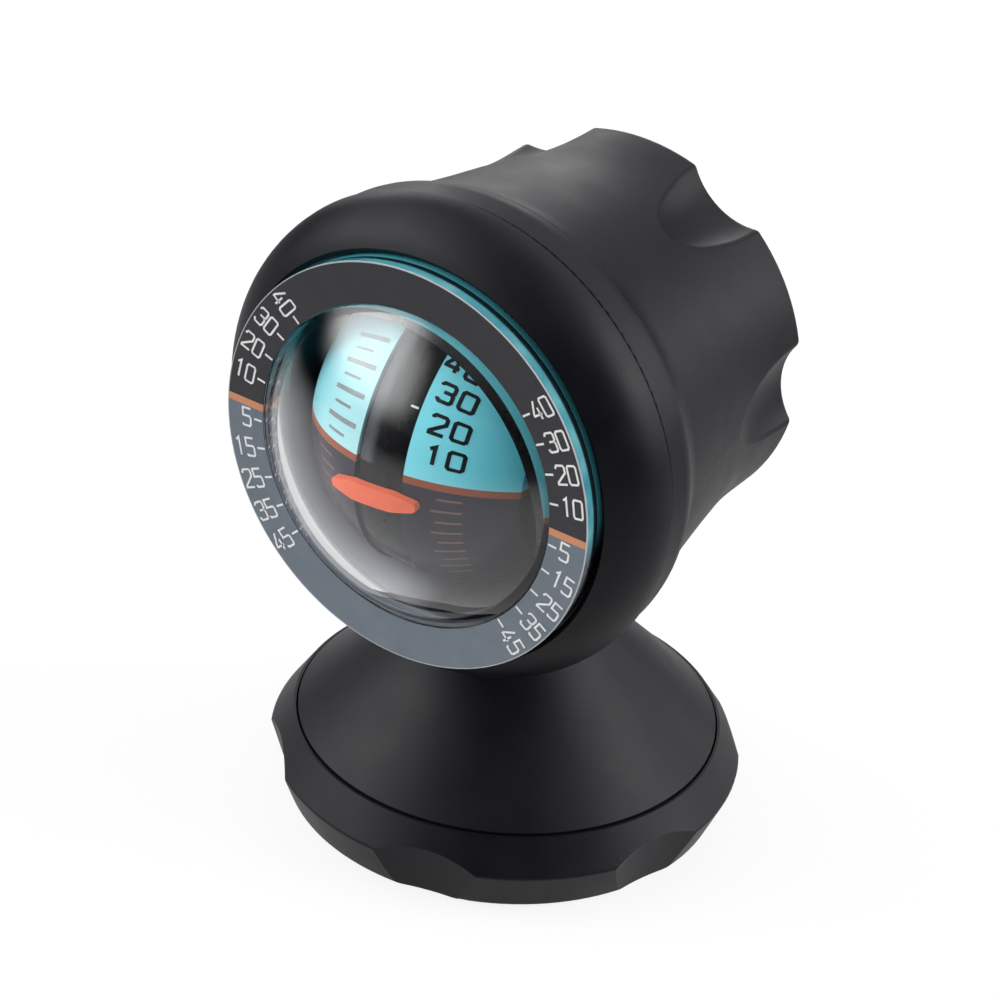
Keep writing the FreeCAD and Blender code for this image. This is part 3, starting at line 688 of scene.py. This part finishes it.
grey_ink = new_finish("grey_ink", (0.27, 0.30, 0.31), 0.4)
patchy(grey_ink, 0.001, 0.35, 0.5, (0.23, 0.26, 0.27), (0.31, 0.34, 0.35))
for name, ends, angles, stroke in (
        ("long_bars", (-0.0096, -0.0044), (10.6, 21.4, 32.2, 43.0), 0.00062),
        ("short_bars", (-0.0090, -0.0060), (5.3, 16.0, 26.8, 37.6), 0.00036)):
    bar_lines = [[(ends[0], arc(degrees)), (ends[1], arc(degrees))] for degrees in angles]
    bar_mesh = inked_mesh(name, bar_lines, stroke, ink_thickness)
    finished_piece(name, wrap_on_drum(bar_mesh), grey_ink, "slope_drum")

ground_bar_inner = (0.0076, 0.0070)
ground_bar_outer = 0.0104
ground_bar_stroke = 0.00030
ground_lines = []
for row in range(9):
    up = arc(-5 * (row + 1))
    for side in (1, -1):
        ground_lines.append([(side * ground_bar_inner[row % 2], up), (side * ground_bar_outer, up)])
ground_mesh = inked_mesh("ground_bars", ground_lines, ground_bar_stroke, ink_thickness)
brown_ink = new_finish("brown_ink", (0.17, 0.085, 0.06), 0.4)
patchy(brown_ink, 0.001, 0.35, 0.5, (0.15, 0.075, 0.055), (0.20, 0.10, 0.07))
finished_piece("ground_bars", wrap_on_drum(ground_mesh), brown_ink, "slope_drum")


# ---- Floor, light and camera ---------------------------------------------------------------------
# A white sweep that stays white where the camera sees it and keeps the object's soft shadow. Soft
# patches of light stand at the front left and overhead, with soft lamps behind and at the right,
# and the long lens looks from the right and above.

floor_half = 3.0
floor_shape = bmesh.new()
bmesh.ops.create_grid(floor_shape, x_segments=1, y_segments=1, size=floor_half)
floor_mesh = bpy.data.meshes.new("floor")
floor_shape.to_mesh(floor_mesh)
floor_shape.free()
floor = bpy.data.objects.new("floor", floor_mesh)
bpy.context.collection.objects.link(floor)
floor_white = new_finish("floor_white", (0.62, 0.62, 0.62), 0.8)
floor_nodes = floor_white.node_tree.nodes
floor_links = floor_white.node_tree.links
floor_rays = floor_nodes.new("ShaderNodeLightPath")
floor_places = floor_nodes.new("ShaderNodeTexCoord")
floor_reach = floor_nodes.new("ShaderNodeVectorMath")
floor_reach.operation = "LENGTH"
floor_links.new(floor_places.outputs["Object"], floor_reach.inputs[0])


def floor_fade(near, far, start=0.10, end=0.45):
    """Value that changes over the floor with the distance from the object."""
    fade = floor_nodes.new("ShaderNodeMapRange")
    fade.interpolation_type = "SMOOTHSTEP"
    fade.inputs["From Min"].default_value = start
    fade.inputs["From Max"].default_value = end
    fade.inputs["To Min"].default_value = near
    fade.inputs["To Max"].default_value = far
    floor_links.new(floor_reach.outputs["Value"], fade.inputs["Value"])
    return fade.outputs["Result"]


def floor_seen_by(rays, share, strength, shader_before):
    """Glow that takes the place of the lit floor, by its share, for one kind of ray."""
    glow = floor_nodes.new("ShaderNodeEmission")
    part = floor_nodes.new("ShaderNodeMath")
    part.operation = "MULTIPLY"
    floor_links.new(rays, part.inputs[0])
    joined = floor_nodes.new("ShaderNodeMixShader")
    for value, socket in ((share, part.inputs[1]), (strength, glow.inputs["Strength"])):
        if isinstance(value, float):
            socket.default_value = value
        else:
            floor_links.new(value, socket)
    floor_links.new(part.outputs["Value"], joined.inputs["Fac"])
    floor_links.new(shader_before, joined.inputs[1])
    floor_links.new(glow.outputs["Emission"], joined.inputs[2])
    return joined.outputs["Shader"]


# Rays that a glossy surface has turned find a glow that fades out before the horizon, and rays
# that only passed through the clear dome find the same white as the camera.
floor_mirrored = floor_nodes.new("ShaderNodeMath")
floor_mirrored.operation = "MINIMUM"
floor_mirrored.inputs[1].default_value = 1.0
floor_links.new(floor_rays.outputs["Glossy Depth"], floor_mirrored.inputs[0])
floor_straight = floor_nodes.new("ShaderNodeMath")
floor_straight.operation = "SUBTRACT"
floor_straight.use_clamp = True
floor_links.new(floor_rays.outputs["Is Transmission Ray"], floor_straight.inputs[0])
floor_links.new(floor_mirrored.outputs["Value"], floor_straight.inputs[1])

floor_glow = 1.08
floor_look = floor_nodes["Principled BSDF"].outputs["BSDF"]
for rays, share, strength in (
        (floor_mirrored.outputs["Value"], 1.0, floor_fade(0.80, 0.0, 0.08, 0.60)),
        (floor_straight.outputs["Value"], floor_fade(0.80, 1.0), floor_glow),
        (floor_rays.outputs["Is Camera Ray"], floor_fade(0.80, 1.0), floor_glow)):
    floor_look = floor_seen_by(rays, share, strength, floor_look)
floor_links.new(floor_look, floor_nodes["Material Output"].inputs["Surface"])
floor_mesh.materials.append(floor_white)

scene = bpy.context.scene
scene.view_settings.view_transform = "Standard"
world = bpy.data.worlds.new("studio")
scene.world = world
world.use_nodes = True
world_nodes = world.node_tree.nodes
world_links = world.node_tree.links
around_glow = world_nodes["Background"]
around_glow.inputs["Color"].default_value = (1, 1, 1, 1)
sky_places = world_nodes.new("ShaderNodeTexCoord")


def sky_patch(towards, edge, full, strength):
    """Glow of the surroundings that grows softly from the edge to the full part of one patch."""
    lean = world_nodes.new("ShaderNodeVectorMath")
    lean.operation = "DOT_PRODUCT"
    lean.inputs[1].default_value = Vector(towards).normalized()
    world_links.new(sky_places.outputs["Generated"], lean.inputs[0])
    span = world_nodes.new("ShaderNodeMapRange")
    span.interpolation_type = "SMOOTHSTEP"
    span.inputs["From Min"].default_value = edge
    span.inputs["From Max"].default_value = full
    span.inputs["To Max"].default_value = strength
    world_links.new(lean.outputs["Value"], span.inputs["Value"])
    return span.outputs["Result"]


sky_sum = sky_patch((0.10, 0.62, 0.78), -0.25, 0.90, 0.50)
for patch in (sky_patch((-0.72, -0.67, 0.32), 0.80, 0.97, 3.7),
              sky_patch((-0.75, -0.20, 0.63), 0.80, 0.97, 2.2)):
    joined = world_nodes.new("ShaderNodeMath")
    joined.operation = "ADD"
    world_links.new(sky_sum, joined.inputs[0])
    world_links.new(patch, joined.inputs[1])
    sky_sum = joined.outputs["Value"]
horizon_fade = world_nodes.new("ShaderNodeMath")
horizon_fade.operation = "MULTIPLY"
world_links.new(sky_sum, horizon_fade.inputs[0])
world_links.new(sky_patch((0, 0, 1), 0.0, 0.30, 1.0), horizon_fade.inputs[1])
world_links.new(horizon_fade.outputs["Value"], around_glow.inputs["Strength"])
seen_glow = world_nodes.new("ShaderNodeBackground")
seen_glow.inputs["Color"].default_value = (1, 1, 1, 1)
world_rays = world_nodes.new("ShaderNodeLightPath")
world_choice = world_nodes.new("ShaderNodeMixShader")
world_links.new(world_rays.outputs["Is Camera Ray"], world_choice.inputs["Fac"])
world_links.new(around_glow.outputs["Background"], world_choice.inputs[1])
world_links.new(seen_glow.outputs["Background"], world_choice.inputs[2])
world_links.new(world_choice.outputs["Shader"], world_nodes["World Output"].inputs["Surface"])

lamp_aim = Vector((0, 0, 0.05))


def soft_lamp(name, place, width, height, watts):
    """Rectangular area lamp turned to the object's middle."""
    lamp = bpy.data.lights.new(name, "AREA")
    lamp.shape = "RECTANGLE"
    lamp.size = width
    lamp.size_y = height
    lamp.energy = watts
    holder = bpy.data.objects.new(name, lamp)
    holder.location = place
    holder.rotation_euler = (lamp_aim - Vector(place)).to_track_quat("-Z", "Y").to_euler()
    bpy.context.collection.objects.link(holder)


soft_lamp("top_lamp", (0.10, 0.60, 0.80), 0.8, 0.6, 1.7)
soft_lamp("right_lamp", (0.80, 0.40, 0.50), 0.6, 0.7, 8.0)
soft_lamp("low_back_lamp", (0.50, 0.85, 0.18), 0.6, 0.3, 1.4)
soft_lamp("back_left_lamp", (-0.60, 0.78, 0.25), 0.6, 0.4, 2.2)

camera_distance = 0.5438
camera_length = 152.14
elevation = math.radians(31.82)
azimuth = math.radians(32.66)
roll = math.radians(4.38)
aim_point = Vector((-0.002582, -0.001655, 0.04333))
level_right = Vector((math.cos(azimuth), math.sin(azimuth), 0))
backward = Vector((math.sin(azimuth) * math.cos(elevation),
                   -math.cos(azimuth) * math.cos(elevation),
                   math.sin(elevation)))
level_up = backward.cross(level_right)
right_hand = level_right * math.cos(roll) + level_up * math.sin(roll)
upward = level_up * math.cos(roll) - level_right * math.sin(roll)
lens = bpy.data.cameras.new("camera")
lens.sensor_width = 36
lens.lens = camera_length
lens.clip_end = 20
camera = bpy.data.objects.new("camera", lens)
camera.matrix_world = Matrix.Translation(aim_point + camera_distance * backward) @ Matrix(
    (right_hand, upward, backward)).transposed().to_4x4()
bpy.context.collection.objects.link(camera)
scene.camera = camera
